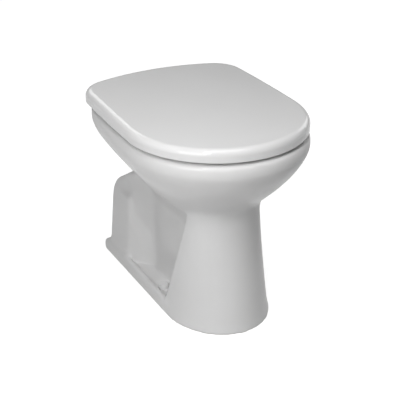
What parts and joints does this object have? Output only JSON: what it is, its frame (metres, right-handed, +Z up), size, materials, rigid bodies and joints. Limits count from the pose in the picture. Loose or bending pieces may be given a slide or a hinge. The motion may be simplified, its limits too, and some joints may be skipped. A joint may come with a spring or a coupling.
{
  "type": "floor-standing toilet",
  "caption": "Floor-standing china toilet pan with a bowl, a built-in trap and a foot, and a hinged plastic seat and lid on hinge posts bolted through its deck.",
  "frame": {"origin": "on the floor in the middle plane, 252 mm in front of the foot's rear edge", "axes": "+X to the right seen from the front, -Y the front, +Y the back, +Z up"},
  "size_m": [0.3692, 0.5103, 0.4255],
  "materials": {
    "china": "white glaze",
    "seat_plastic": "white thermoset moulding, satin gloss",
    "buffer_rubber": "pale grey, matt",
    "hinge_metal": "fine brushed",
    "bush_plastic": "natural, matt",
    "fixing_rubber": "black, matt",
    "fixing_steel": "zinc plated",
    "nut_plastic": "white, matt",
    "sleeve_plastic": "white, matt",
    "cap_plastic": "white, gloss"
  },
  "bodies": {
    "pan": {"pan_rim": "china", "pan_inlet": "china", "pan_deck_left": "china", "pan_deck_right": "china", "pan_bowl": "china", "pan_pedestal": "china", "pan_trap": "china", "pan_column": "china", "hinge_post_left": "hinge_metal", "hinge_pin_left": "hinge_metal", "hinge_pad_left": "fixing_rubber", "hinge_stud_left": "fixing_steel", "hinge_cone_left": "fixing_rubber", "hinge_washer_left": "fixing_steel", "wing_nut_left": "nut_plastic", "floor_sleeve_left": "sleeve_plastic", "floor_cap_left": "cap_plastic", "hinge_post_right": "hinge_metal", "hinge_pin_right": "hinge_metal", "hinge_pad_right": "fixing_rubber", "hinge_stud_right": "fixing_steel", "hinge_cone_right": "fixing_rubber", "hinge_washer_right": "fixing_steel", "wing_nut_right": "nut_plastic", "floor_sleeve_right": "sleeve_plastic", "floor_cap_right": "cap_plastic"},
    "seat": {"seat": "seat_plastic", "seat_buffers": "buffer_rubber", "seat_bush_left": "bush_plastic", "seat_bush_right": "bush_plastic"},
    "lid": {"lid": "seat_plastic", "lid_buffers": "buffer_rubber", "lid_bush_left": "bush_plastic", "lid_bush_right": "bush_plastic"}
  },
  "joints": [
    {"name": "seat_hinge", "type": "hinge", "parent": "pan", "child": "seat", "pos_m": [0, 0.197, 0.413], "axis": [-1, 0, 0], "range_deg": [0, 95]},
    {"name": "lid_hinge", "type": "hinge", "parent": "seat", "child": "lid", "pos_m": [0, 0.197, 0.413], "axis": [1, 0, 0], "range_deg": [-100, 0]}
  ]
}
